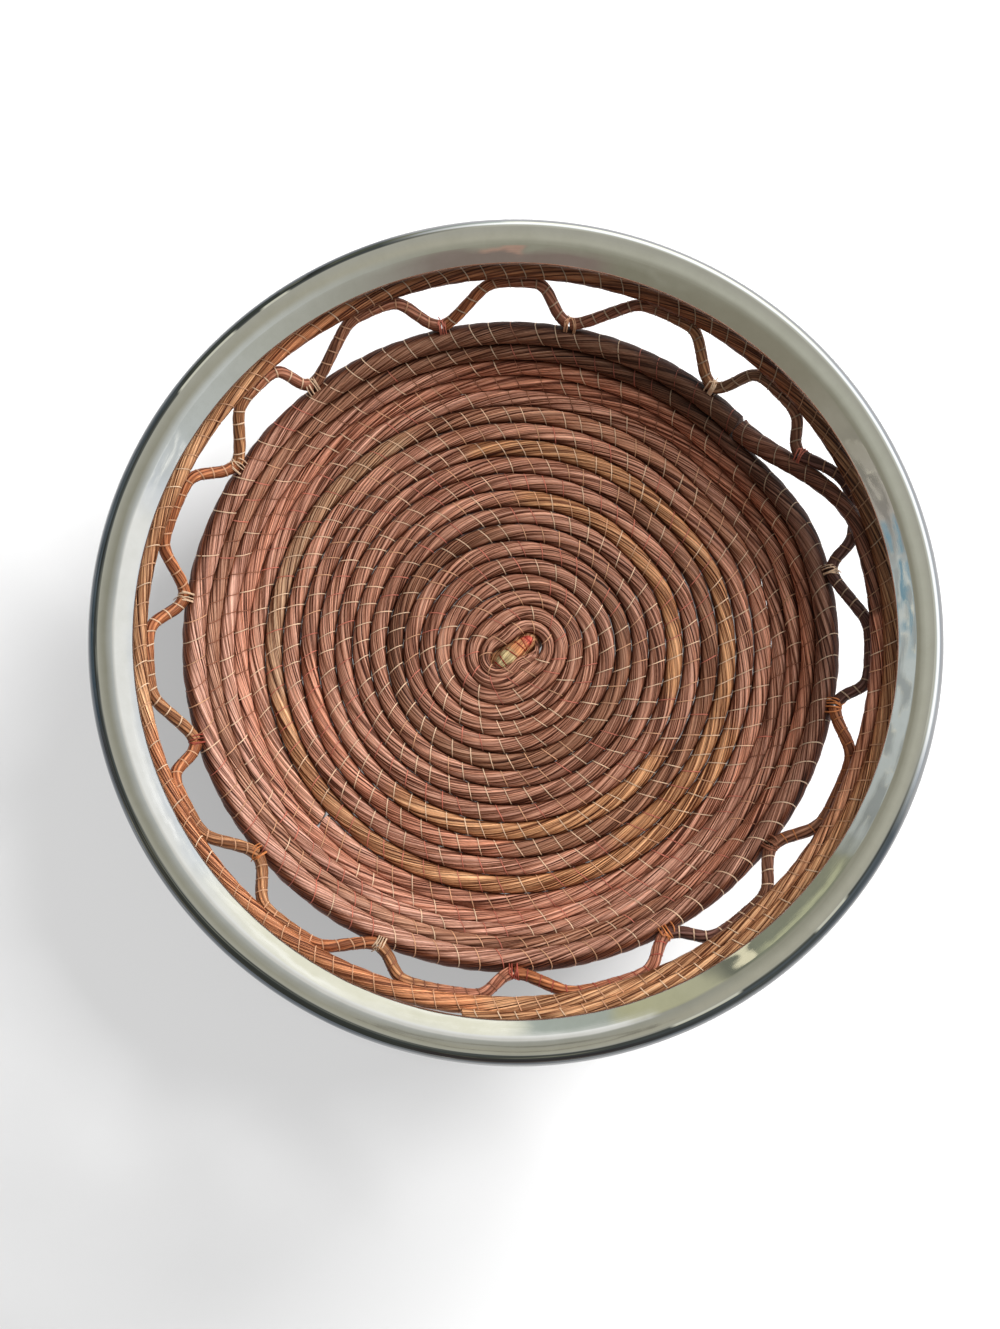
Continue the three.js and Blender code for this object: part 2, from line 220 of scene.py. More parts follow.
def base_width(turn):
    thinned = FLOOR_BUNDLE - eye_bulge(turn) / EYE_FADE - FOLD_SQUEEZE * first_fold(turn)
    return lerp(thinned, TOP_BUNDLE, smooth((turn - TURNS + 1) * 360 / LIFT_SPAN))


def rim_place(travel):
    """Middle of the rim coil, some degrees clockwise from where it lifts off the base."""
    edge_radius, edge_height, _ = base_profile(PROFILE_LENGTH)
    lifted = smooth(travel / LIFT_SPAN)
    rise = smooth((travel - LOW_RUN_END) / (HIGH_RUN_START - LOW_RUN_END))
    radius = lerp(edge_radius, RIM_RADIUS - RIM_STEP_OUT, lifted) + RIM_STEP_OUT * rise
    height = lerp(edge_height, RIM_HEIGHT - RIM_STEP_UP, lifted) + RIM_STEP_UP * rise
    return around(LIFT_START - travel, radius, height, BASE_SHIFT * (1 - lifted))


def rim_width(travel):
    full = lerp(TOP_BUNDLE, RIM_BUNDLE, smooth(travel / LIFT_SPAN))
    return full * lerp(RIM_TAPER_END, 1, smooth((RIM_COIL_SWEEP - travel) / RIM_TAPER_SWEEP))


def run_length(points):
    """How far each point is along a line of points."""
    steps = np.linalg.norm(np.diff(points, axis=0), axis=1)
    return np.concatenate([[0], np.cumsum(steps)])


def sampled(places, length, rows):
    """What rows, known at some lengths, are at other places."""
    return np.stack([np.interp(places, length, column) for column in rows.T], axis=-1)


def blurred(rows, weights):
    """Rows averaged with their neighbours, by weights that add up to one."""
    return np.stack([np.convolve(column, weights, "valid") for column in rows.T], axis=-1)


class Path:
    """A bundle's middle line with its side that shows, measured by length."""

    def __init__(self, centres, facing, widths):
        self.length = run_length(centres)
        self.total = self.length[-1]
        along = unit(np.gradient(centres, self.length, axis=0))
        facing = unit(facing - along * np.sum(facing * along, axis=1, keepdims=True))
        widths = np.full(len(centres), widths)
        self.rows = np.concatenate([centres, along, facing, widths[:, None]], axis=1)

    def at(self, length):
        """Centres, directions along, out to the side and towards the viewer, and widths."""
        flat = np.clip(np.ravel(length), 0, self.total)
        rows = sampled(flat, self.length, self.rows).reshape(np.shape(length) + (10,))
        along = unit(rows[..., 3:6])
        facing = unit(rows[..., 6:9])
        return rows[..., :3], along, unit(np.cross(facing, along)), facing, rows[..., 9]


def between(value, rise_start, rise, fall_start, fall):
    """Nothing, then one, then nothing again, with soft changes of given lengths."""
    return smooth((value - rise_start) / rise) * (1 - smooth((value - fall_start) / fall))


def whole_winding():
    """The one bundle from the eye to the rim's end, and where its three parts meet."""
    turn = np.linspace(FOLD_START, TURNS, 16000)
    centres, bend = base_place(turn)
    outward = outward_at(centres, BASE_SHIFT)
    facing = np.cos(bend)[:, None] * UP - np.sin(bend)[:, None] * outward
    flatness = 1 - bend / math.radians(WALL_SLOPE)
    centres = centres + (FLOOR_LIFT * flatness)[:, None] * UP
    widths = base_width(turn) + BUNDLE_SWELL
    widths = widths * lerp(START_THINNESS, 1, smooth((turn - FOLD_START) / START_TAPER))
    travel = np.linspace(0, RIM_COIL_SWEEP, 1500)[1:]
    rim_centres = rim_place(travel)
    rim_outward = outward_at(rim_centres)
    turned = -np.sin(bend[-1]) * rim_outward + math.cos(bend[-1]) * UP
    rim_facing = lerp(turned, UP, smooth(travel / LIFT_SPAN)[:, None])
    rim_widths = rim_width(travel) + RIM_SWELL
    low_run = between(travel, *LOW_RUN)
    bow = between(travel, *BOW)
    high_run = smooth((travel - HIGH_RUN[0]) / HIGH_RUN[1])
    rim_widths = rim_widths + LOW_RUN_SWELL * low_run + BOW_SWELL * bow
    shift = LOW_RUN_SHIFT * low_run + HIGH_RUN_SHIFT * high_run + BOW_SHIFT * bow
    rim_centres = rim_centres + rim_outward * shift[:, None]
    parts = zip((centres, facing, widths), (rim_centres, rim_facing, rim_widths))
    path = Path(*[np.concatenate(pair) for pair in parts])
    floor_end = np.interp(FLOOR_TURNS, turn, path.length[: len(turn)])
    return path, floor_end, path.length[len(turn) - 1]


def wander(values, period, seed):
    """Smooth random numbers from -1 to 1 along a length."""
    knots = default_rng(seed).uniform(-1, 1, int(np.max(values) / period) + 3)
    place = np.clip(values / period, 0, len(knots) - 2)
    low = np.floor(place).astype(int)
    return lerp(knots[low], knots[low + 1], smooth(place - low))


def dyes(length, stretch, names, seed):
    """The straw's colour along a bundle, in spliced stretches of one colour each."""
    rng = default_rng(seed)
    count = int(np.max(length) / stretch * 1.6) + 4
    ends = np.cumsum(rng.uniform(0.5, 1.5, count) * stretch)
    tones = np.array([STRAW[name] for name in rng.choice(names, count + 1)])
    tones = tones * rng.uniform(0.88, 1.1, (count + 1, 1))
    index = np.searchsorted(ends, length)
    before = np.maximum(index - 1, 0)
    into = length - np.where(index > 0, ends[before], -1000)
    return lerp(tones[before], tones[index], smooth(into / SPLICE_LENGTH)[..., None])


def stitch_places(start, end, spacing, seed):
    rng = default_rng(seed)
    count = int((end - start) / spacing)
    places = start + (np.arange(count) + 0.5) * (end - start) / count
    return places + rng.uniform(-0.12, 0.12, count) * spacing


def section(angle, power):
    """A rounded section, fuller at its shoulders than a circle."""
    return (np.abs(np.cos(angle)) ** power + np.abs(np.sin(angle)) ** power) ** (-1 / power)


def pinch(length, stitches):
    """How much the thread draws the straw in at a place along the bundle, one being most."""
    index = np.clip(np.searchsorted(stitches, length), 1, len(stitches) - 1)
    near = np.minimum(np.abs(length - stitches[index - 1]), np.abs(length - stitches[index]))
    return np.exp(-((near / DRAW_REACH) ** 2))


def strand_relief(length, angle, seed):
    """Ridges of single straws, which wander round the bundle as they run along it."""
    rng = default_rng(seed)
    relief = 0 * angle
    for count, height in ((6, 0.3), (9, 0.4), (12, 0.3)):
        drift = wander(length, 28, rng.integers(1 << 30)) * 1.4
        relief = relief + height * np.cos(count * angle + drift + rng.uniform(0, 2 * math.pi))
    return relief


def tube_faces(rings, sides):
    """Faces of a tube made of rings of points, closed at both ends."""
    start = np.arange(rings - 1)[:, None] * sides
    side = np.arange(sides)
    first = start + side
    second = start + (side + 1) % sides
    faces = np.stack([first, second, second + sides, first + sides], axis=-1).reshape(-1, 4).tolist()
    last = (rings - 1) * sides
    return faces + [list(range(sides - 1, -1, -1)), list(range(last, last + sides))]


def wrapped_faces(rows, columns, start=0):
    """Faces of a grid of points that closes on itself both ways."""
    row = np.arange(rows)[:, None]
    column = np.arange(columns)

    def index(r, c):
        return start + (r % rows) * columns + c % columns

    corners = [
        index(row, column), index(row + 1, column), index(row + 1, column + 1), index(row, column + 1),
    ]
    return np.stack(corners, axis=-1).reshape(-1, 4).tolist()


# What a mesh attribute is called by how many numbers each point has
ATTRIBUTE_KINDS = {1: ("FLOAT", "value"), 3: ("FLOAT_VECTOR", "vector"), 4: ("FLOAT_COLOR", "color")}


def make_object(name, points, faces, materials, attributes=None, material_index=None):
    """A smooth mesh object in metres, standing on the floor, with its named attributes."""
    points = np.array(points, dtype=float).reshape(-1, 3)
    points[:, 2] = np.maximum(points[:, 2], 0.04)
    mesh = bpy.data.meshes.new(name)
    mesh.from_pydata((points * MM).tolist(), [], faces)
    for key, values in (attributes or {}).items():
        kind, field = ATTRIBUTE_KINDS[np.size(values) // len(points)]
        made = mesh.attributes.new(key, kind, "POINT")
        made.data.foreach_set(field, np.ravel(values).astype(np.float32))
    for material in materials:
        mesh.materials.append(material)
    if material_index is not None:
        mesh.polygons.foreach_set("material_index", material_index)
    mesh.shade_smooth()
    mesh.update()
    made_object = bpy.data.objects.new(name, mesh)
    scene.collection.objects.link(made_object)
    return made_object


def fibre_attributes(own, dye, drawn=None, ridge=None):
    """What the materials read: place in the fibre, colour, and how drawn in and ridged it is."""
    plain = np.zeros(own.shape[:-1])
    return {
        "straw": own * MM,
        # The colour, with any painted light and shade that it carries
        "dye": np.concatenate([dye, plain[..., None] + 1], axis=-1),
        "drawn": plain if drawn is None else drawn,
        "ridge": plain if ridge is None else ridge,
    }


def round_about(angle, out, facing):
    """Directions round a bundle, at angles that go from its outer side to its facing side."""
    return np.cos(angle)[:, None] * out + np.sin(angle)[:, None] * facing


def bundle(
    path, start, end, stitches, sides, dye_and_shade_of,
    power=2.3, relief=0.035, slant=STITCH_SLANT, seed=1, groove=0.3,
):
    """Points, faces and attributes of a straw bundle between two lengths of its path."""
    inside = stitches[(stitches > start) & (stitches < end)]
    stops = np.concatenate([[start], inside, [end]])
    shares = np.array([0, 0.14, 0.37, 0.63, 0.86])
    rings = (stops[:-1, None] + np.diff(stops)[:, None] * shares).ravel()
    rings = np.append(rings, end)
    angle = 2 * math.pi * np.arange(sides) / sides
    half = path.at(rings)[4][:, None] / 2
    length = np.clip(rings[:, None] - slant * half * np.cos(angle), start, end)
    centres, _, out, facing, widths = path.at(length)
    turned = angle + STRAND_TWIST * length
    ridge = strand_relief(length, turned, seed)
    drawn = pinch(rings, stitches)[:, None] + 0 * length
    lumps = 0.02 * wander(length, 11, seed + 5)
    shape = 1 - STITCH_DRAW * drawn + relief * ridge + lumps
    reach = widths / 2 * section(angle, power) * shape
    points = centres + reach[..., None] * round_about(angle, out, facing)
    faces = tube_faces(len(rings), sides)
    own = np.stack([length, widths / 2 * np.cos(turned), widths / 2 * np.sin(turned)], axis=-1)
    # Painted shade on the sides of the bundle that face its neighbouring turns
    groove_shade_share = groove * smooth((np.abs(np.cos(angle)) - GROOVE_SHADE_START) / 0.3)[:, None]
    dye = dye_and_shade_of(length) * lerp(np.ones(3), GROOVE_SHADE_TINT, groove_shade_share)
    return points.reshape(-1, 3), faces, fibre_attributes(own, dye, drawn, ridge)


def threads(path, stitches, slants, colours, power=2.3, width=THREAD_WIDTH, segments=16):
    """Flat threads, each wrapped once round a bundle in a slanted plane."""
    angle = 2 * math.pi * (np.arange(segments) + 0.5) / segments
    half = path.at(stitches)[4][:, None] / 2
    length = stitches[:, None] - slants[:, None] * half * np.cos(angle)
    centres, along, out, facing, widths = path.at(length)
    radial = round_about(angle, out, facing)
    reach = widths / 2 * section(angle, power) * (1 - STITCH_DRAW)
    sides = np.array([-0.5, -0.3, 0.3, 0.5]) * width
    rises = np.array([-THREAD_SINK, THREAD_HEIGHT, THREAD_HEIGHT, -THREAD_SINK])
    across = sides[:, None] * along[:, :, None]
    outwards = (reach[..., None] + rises)[..., None] * radial[:, :, None]
    points = centres[:, :, None] + across + outwards
    each = np.arange(len(stitches))[:, None, None] * segments * len(sides)
    faces = wrapped_faces(segments, len(sides), each)
    dye = np.broadcast_to(colours[:, None, None], points.shape)
    own = np.stack(np.broadcast_arrays(angle[:, None] * 4, sides, stitches[:, None, None]), axis=-1)
    return points.reshape(-1, 3), faces, fibre_attributes(own, dye)


def thread_colours(stitches, seed, names=("cream", "cream", "peach", "salmon"), stretch=70):
    """Colours of the stitches: one thread runs for a while and then changes."""
    rng = default_rng(seed)
    count = int(np.max(stitches) / stretch) + 2
    runs = rng.choice(names, count)
    mood = rng.uniform(0, 1, len(stitches))
    index = (stitches / stretch + 0.5 * rng.uniform(-1, 1, len(stitches))).astype(int) % count
    picked = np.array([THREAD[runs[i]] for i in index])
    paler = np.where(mood[:, None] < 0.25, THREAD["cream"], picked)
    return paler * rng.uniform(0.85, 1.2, (len(stitches), 1))


def joined(*parts):
    """Several bundles or threads as one, with each part's number for its material."""
    faces, numbers, offset = [], [], 0
    for number, (points, part_faces, _) in enumerate(parts):
        faces.extend([[i + offset for i in face] for face in part_faces])
        numbers.extend([number] * len(part_faces))
        offset += len(points)
    attributes = {key: np.concatenate([np.ravel(part[2][key]) for part in parts]) for key in parts[0][2]}
    return np.concatenate([part[0] for part in parts]), faces, attributes, numbers


# Materials
WHITE = (1, 1, 1, 1)


def tree_of(*values):
    """The node tree of the first socket among some values."""
    return next(value.id_data for value in values if isinstance(value, bpy.types.NodeSocket))


def node(tree, kind, inputs=None, **settings):
    """A new node, its inputs linked where a socket is given and set where a value is."""
    made = tree.nodes.new("ShaderNode" + kind)
    for key, value in settings.items():
        setattr(made, key, value)
    for key, value in (inputs or {}).items():
        if isinstance(value, bpy.types.NodeSocket):
            tree.links.new(value, made.inputs[key])
        else:
            made.inputs[key].default_value = value
    return made


def empty_tree(block):
    block.use_nodes = True
    block.node_tree.nodes.clear()
    return block.node_tree


def new_material(name):
    material = bpy.data.materials.new(name)
    tree = empty_tree(material)
    shader = node(tree, "BsdfPrincipled")
    node(tree, "OutputMaterial", {"Surface": shader.outputs["BSDF"]})
    return material, tree, shader


def feed(shader, inputs):
    for key, socket in inputs.items():
        socket.id_data.links.new(socket, shader.inputs[key])


def attribute(tree, name, output="Fac"):
    return node(tree, "Attribute", attribute_name=name).outputs[output]


def maths(operation, first, second=0.0):
    made = node(tree_of(first, second), "Math", {0: first, 1: second}, operation=operation)
    return made.outputs[0]


def times(first, second):
    return maths("MULTIPLY", first, second)


def plus(first, second):
    return maths("ADD", first, second)


def minus(first, second):
    return maths("SUBTRACT", first, second)


def larger(first, second):
    return maths("MAXIMUM", first, second)


def vector_maths(operation, first, second=(0, 0, 0), output="Vector"):
    made = node(tree_of(first), "VectorMath", {0: first, 1: second}, operation=operation)
    return made.outputs[output]


def tinted(colour, tint):
    return vector_maths("MULTIPLY", colour, tint)


def vector_of(x, y, z=0.0):
    return node(tree_of(x, y, z), "CombineXYZ", {"X": x, "Y": y, "Z": z}).outputs[0]


def mixed(factor, first, second):
    tree = tree_of(factor, first, second)
    return node(tree, "Mix", {0: factor, 6: first, 7: second}, data_type="RGBA").outputs[2]


def ranged(value, low, high, to_low=0.0, to_high=1.0):
    inputs = {"Value": value, "From Min": low, "From Max": high, "To Min": to_low, "To Max": to_high}
    return node(tree_of(value), "MapRange", inputs).outputs["Result"]


def banded(value, low, high, soft):
    """One between two values of something, and nothing outside them."""
    inside = maths("MINIMUM", minus(value, low), minus(high, value))
    return ranged(inside, -soft / 2, soft / 2)


def ramp(factor, stops):
    made = node(tree_of(factor), "ValToRGB", {"Fac": factor})
    elements = made.color_ramp.elements
    while len(elements) < len(stops):
        elements.new(0.5)
    for element, (position, colour) in zip(elements, stops):
        element.position = position
        element.color = (*colour, 1)
    return made.outputs["Color"]


def noise(place, scale, detail=3.0, roughness=0.6, distortion=0.0):
    tree = tree_of(place)
    mapping = node(tree, "Mapping", {"Vector": place, "Scale": scale})
    inputs = {
        "Vector": mapping.outputs[0], "Scale": 1.0,
        "Detail": detail, "Roughness": roughness, "Distortion": distortion,
    }
    return node(tree, "TexNoise", inputs).outputs["Fac"]


def bumped(height, strength, distance, **normal):
    inputs = {"Height": height, "Strength": strength, "Distance": distance, **normal}
    return node(tree_of(height), "Bump", inputs).outputs["Normal"]


def polar(tree):
    """The object's own place, its level part, how far out and round that is, and the height."""
    place = node(tree, "TexCoord").outputs["Object"]
    x, y, z = node(tree, "SeparateXYZ", {"Vector": place}).outputs
    flat = vector_of(x, y)
    return place, flat, vector_maths("LENGTH", flat, output="Value"), maths("ARCTAN2", y, x), z


def straw_material(name, contrast=1.0, gloss=0.38):
    """Straw: long thin strands of their own grain, with painted shade in the slits between them, in the
    hollows and under the threads, and a painted pale sheen on the brightest strands.
    """
    material, tree, shader = new_material(name)
    place = attribute(tree, "straw", "Vector")
    strands = noise(place, (24, 1700, 1700), 1.5, 0.5)
    fibres = noise(place, (60, 4400, 4400), 2.0, 0.6)
    tones = noise(place, (12, 640, 640), 1.0, 0.5)
    # Partly the strands' own grain, partly painted: shade in the slits and a pale sheen on the brightest
    # strands
    slit_to_gleam = [
        (0.33, (0.13, 0.06, 0.03)), (0.41, (0.44, 0.34, 0.28)), (0.48, (0.95, 0.94, 0.93)),
        (0.57, (1.5, 1.62, 1.7)), (0.68, (2.1, 2.6, 2.95)),
    ]
    dark_to_warm = [
        (0.3, (0.74, 0.68, 0.66)), (0.46, (1.0, 1.0, 1.0)), (0.6, (1.16, 1.17, 1.14)),
        (0.72, (1.05, 0.98, 0.94)),
    ]
    shade = mixed(contrast, WHITE, ramp(strands, slit_to_gleam))
    fine = ranged(fibres, 0.3, 0.7, 1 - 0.3 * contrast, 1 + 0.32 * contrast)
    # Painted shade in the hollows between the strand ridges and where the thread draws the straw in
    shade_in_hollows = ranged(attribute(tree, "ridge"), -0.9, 0.5, 0.62, 1.06)
    shade_under_thread = ranged(attribute(tree, "drawn"), 0.4, 1, 1, 0.8)
    toned = tinted(attribute(tree, "dye", "Color"), ramp(tones, dark_to_warm))
    colour = tinted(tinted(toned, shade), times(fine, times(shade_in_hollows, shade_under_thread)))
    rough = ranged(strands, 0.35, 0.65, gloss + 0.2, gloss - 0.06)
    relief = bumped(plus(strands, times(fibres, 0.5)), 0.5, 0.0006)
    feed(shader, {"Base Color": colour, "Roughness": rough, "Normal": relief})
    shader.inputs["Specular IOR Level"].default_value = 0.17
    return material


def thread_material(name):
    """Sewing fibre: a flat strip of leaf with fine lines along it."""
    material, tree, shader = new_material(name)
    lines = noise(attribute(tree, "straw", "Vector"), (120, 6000, 300), 2.0, 0.6)
    colour = tinted(attribute(tree, "dye", "Color"), ranged(lines, 0.3, 0.7, 0.72, 1.18))
    rough = ranged(lines, 0.3, 0.7, 0.55, 0.38)
    feed(shader, {"Base Color": colour, "Roughness": rough, "Normal": bumped(lines, 0.4, 0.0002)})
    shader.inputs["Specular IOR Level"].default_value = 0.15
    return material


def metal_material():
    """Polished aluminium, spun and rubbed by hand, with painted dark reflections on its rolled edge,
    strongest at the lower left, and painted highlights towards the window.
    """
    material, tree, shader = new_material("polished_aluminium")
    place, flat, radius, angle, height = polar(tree)
    spun = vector_of(times(radius, 3600), angle, times(height, 3600))
    rings = noise(spun, (1, 5, 1), 3.0, 0.65)
    streaks = noise(spun, (0.35, 2.2, 0.35), 3.0, 0.6, 0.6)
    waves = noise(place, (30, 30, 60), 1.5, 0.5, 0.4)
    smudges = noise(place, (120, 120, 120), 4.0, 0.62)
    greys = [(0.3, (0.62, 0.61, 0.585)), (0.55, (0.65, 0.64, 0.62)), (0.8, (0.67, 0.66, 0.64))]
    tint = ramp(smudges, greys)

    # Painted dark reflections on the rolled edge, strongest at the lower left, and a painted highlight
    # where it faces the window instead
    side = maths("DIVIDE", vector_maths("DOT_PRODUCT", flat, DARK_REFLECTION_SIDE, "Value"), radius)
    wavering = plus(radius, times(streaks, 0.0012))
    rolled = ranged(wavering, *ROLL_START)
    reflection_fade = larger(ranged(wavering, *REFLECTION_FADE_EDGE, 1, 0.6), ranged(side, 0.6, 0.9))
    painted_dark_reflection = times(times(rolled, ranged(side, -0.6, -0.35, 0, 0.95)), reflection_fade)
    # How much painted dark reflection the edge takes: all round at its outermost, and more at the lower
    # left
    strength = larger(ranged(wavering, *OUTERMOST, 0, 0.62), painted_dark_reflection)
    blue_to_bare = [
        (0.32, (0.07, 0.08, 0.1)), (0.5, (0.13, 0.16, 0.2)), (0.58, (0.1, 0.11, 0.12)),
        (0.7, (0.6, 0.62, 0.6)),
    ]
    dark_reflection_colour = tinted(tint, ramp(streaks, blue_to_bare))
    # Painted highlight: the rolled edge is paler on the side towards the window
    window_side_highlight = times(rolled, ranged(side, -0.6, -0.4, 1, 0))
    tint = mixed(window_side_highlight, tint, (0.9, 0.9, 0.9, 1))
    # Painted darker reflection beside the crease, on the lower-left side
    beside_crease = times(ranged(radius, *DIM_REFLECTION_START), ranged(radius, *DIM_REFLECTION_END, 1, 0))
    dim_reflection = times(beside_crease, ranged(side, 0.1, 0.6))
    tint = tinted(tint, mixed(dim_reflection, WHITE, (0.78, 0.77, 0.75, 1)))
    tint = mixed(strength, tint, dark_reflection_colour)

    # Painted highlights: bright dashes along the edge
    degrees = times(angle, IN_DEGREES)
    glints = 0.0
    for start, end in PAINTED_GLINTS:
        glints = larger(glints, banded(degrees, start, end, 1))
    glints = times(glints, banded(radius, *GLINT_BAND, 0.0003))
    colour = mixed(glints, tint, (1, 1, 0.97, 1))
    rough = plus(ranged(rings, 0.3, 0.75, 0, 0.025), ranged(smudges, 0.35, 0.75, 0.015, 0.05))
    relief = bumped(rings, 0.015, 0.0003, Normal=bumped(waves, 0.35, 0.0012))
    feed(shader, {"Base Color": colour, "Roughness": rough, "Normal": relief})
    shader.inputs["Metallic"].default_value = 1.0
    return material


straw_look = straw_material("sewn_straw")
arch_look = straw_material("arch_straw", contrast=0.8)
core_look = straw_material("core_straw", contrast=0.45, gloss=0.4)
thread_look = thread_material("sewing_fibre")
metal_look = metal_material()


# The winding
path, floor_end, wall_end = whole_winding()
floor_stitches = stitch_places(8, floor_end, FLOOR_SPACING, 11)
wall_stitches = stitch_places(floor_end + 3, wall_end, WALL_SPACING, 12)
rim_stitches = stitch_places(wall_end, path.total - 2, RIM_SPACING, 13)
all_stitches = np.concatenate([floor_stitches, wall_stitches, rim_stitches])


def past_lift(length):
    """Degrees round the tray since the rim coil lifted off the base."""
    return (length - wall_end) / RIM_RADIUS * IN_DEGREES


def window_shade(length):
    """Painted light and shade in the straw's colour: dark beneath the window, lighter further out, pale
    where it faces it.
    """
    toward = unit(path.at(length)[0][..., :2]) @ level(WINDOW_AZIMUTH)[:2]
    past = past_lift(length)
    near_window = np.where(past > 0, between(past, *PAINTED_SHADE_BENEATH_WINDOW), 0)
    # Painted shade on the upper wall beneath the window
    upper_wall_shade = np.where(past < 40, smooth((length - wall_end + 2200) / 1500), 0)
    upper_wall_shade = upper_wall_shade * (0.5 + 0.5 * toward) ** 2
    on_wall = lerp(0.5, 1, smooth((length - floor_end + 300) / 600))
    outward = smooth(length / floor_end)
    facing = on_wall * outward * (0.5 - 0.5 * toward)
    light = (0.97 + 0.23 * outward) * (1 - 0.57 * near_window - 0.68 * upper_wall_shade)
    return light[..., None] * lerp(np.ones(3), PAINTED_WINDOW_LIGHT_TINT, facing[..., None])


def base_dye_and_shade(length):
    floor = dyes(length, 190, ["mauve", "red", "gold", "mauve", "mauve", "olive", "umber"], 21)
    wall = dyes(length, 420, ["mauve", "umber", "mauve", "red"], 22)
    rim = dyes(length, 260, ["gold", "rust", "gold"], 23)
    up_wall = smooth((length - floor_end + 500) / 700)[..., None]
    golden = smooth((past_lift(length) - 45) / 50)[..., None]
    # The dyes, with the window's painted light and shade
    return lerp(lerp(floor, wall, up_wall), rim, golden) * window_shade(length)


def build_winding(name, node_name, start, end, sides, slot, **shape):
    points, faces, attributes = bundle(path, start, end, all_stitches, sides, base_dye_and_shade, **shape)
    made = make_object(name, points, faces, [straw_look], attributes)
    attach(made, "root")
    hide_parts(node_name)


def build_stitching(name, stitches, seed, **look):
    slants = STITCH_SLANT * default_rng(seed).uniform(0.7, 1.35, len(stitches))
    # The threads take the window's painted shade, but not its painted light
    colours = thread_colours(stitches, seed, **look) * np.minimum(window_shade(stitches), 1)
    points, faces, attributes = threads(path, stitches, slants, colours)
    made = make_object(name, points, faces, [thread_look], attributes)
    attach(made, "root")


build_winding("floor_bundle", "floor_coil", 0, floor_end, 30, "straw", seed=31, groove=1)
build_winding("wall_bundle", "wall_coil", floor_end, wall_end, 30, "straw", seed=31, groove=1)
build_winding("rim_bundle", "rim_coil", wall_end, path.total, 30, "straw", seed=31)
build_stitching("floor_stitching", floor_stitches, 41)
build_stitching("wall_stitching", wall_stitches, 42, names=("cream", "peach", "salmon", "brown"))
build_stitching("rim_stitching", rim_stitches, 43, names=("cream", "peach", "peach"))


# Gallery
def travel_to(angle):
    return (LIFT_START - angle) % 360


def arch_top(angle):
    first = travel_to(angle)
    travel = first + 360 if first < LIFT_SPAN - CROSSING_SPAN else first
    crossing = float(np.clip((LIFT_SPAN - travel) / CROSSING_SPAN, 0, 1))
    tuck = math.radians(lerp(ARCH_TUCK, CROSSING_TUCK, crossing))
    reach = (ARCH_BUNDLE + rim_width(travel)) / 2 + SEAT_GAP + CROSSING_ROOM * crossing
    coil = rim_place(travel)
    return coil - reach * (outward_at(coil) * math.sin(tuck) + UP * math.cos(tuck))


def coil_below(angle):
    travel = travel_to(angle)
    if travel < LIFT_SPAN:
        return rim_place(travel), rim_width(travel)
    turn = TURNS - 1 + travel / 360
    return base_place(turn)[0], base_width(turn)


def knot_frame(angle):
    """A knot's directions along the coil and up from it, and the middle of the arch feet."""
    place, width = coil_below(angle)
    along = unit(coil_below(angle + 0.5)[0] - coil_below(angle - 0.5)[0])
    outward = outward_at(place, BASE_SHIFT)
    lean = math.radians(SEAT_LEAN)
    seat = outward * math.sin(lean) + UP * math.cos(lean)
    seat = unit(seat - along * np.dot(seat, along))
    height = (width + ARCH_BUNDLE) / 2 + SEAT_GAP
    return along, seat, place + seat * height


def smoothed_path(corners, step=0.6):
    """An even path along corners, with its bends rounded by averaging over a length."""
    corners = np.array(corners)
    length = run_length(corners)
    spots = sampled(np.arange(0, length[-1], step), length, corners)
    reach = int(3 * ARCH_ROUNDING / step)
    weights = np.exp(-0.5 * (np.arange(-reach, reach + 1) * step / ARCH_ROUNDING) ** 2)
    weights /= weights.sum()
    before = 2 * spots[0] - spots[reach:0:-1]
    after = 2 * spots[-1] - spots[-2 : -reach - 2 : -1]
    mirrored = np.concatenate([before, spots, after])
    return blurred(mirrored, weights)


# Straw and thread of each arch, from its first knot to its last
ARCH_LOOKS = [
    ("plum", "plum", "cream"), ("plum", "plum", "peach"), ("umber", "olive", "cream"),
    ("gold", "red", "cream"), ("red", "rust", "cream"), ("red", "umber", "peach"),
    ("red", "gold", "cream"), ("rust", "rust", "peach"), ("rust", "gold", "cream"),
    ("rust", "gold", "peach"), ("gold", "rust", "peach"), ("gold", "salmon", "brown"),
    ("rust", "salmon", "red"), ("plum", "umber", "cream"), ("umber", "rust", "orange"),
]
KNOT_THREADS = [
    "orange", "cream", "salmon", "cream", "peach", "salmon", "cream", "cream",
    "cream", "red", "orange", "cream", "red", "orange", "brown",
]


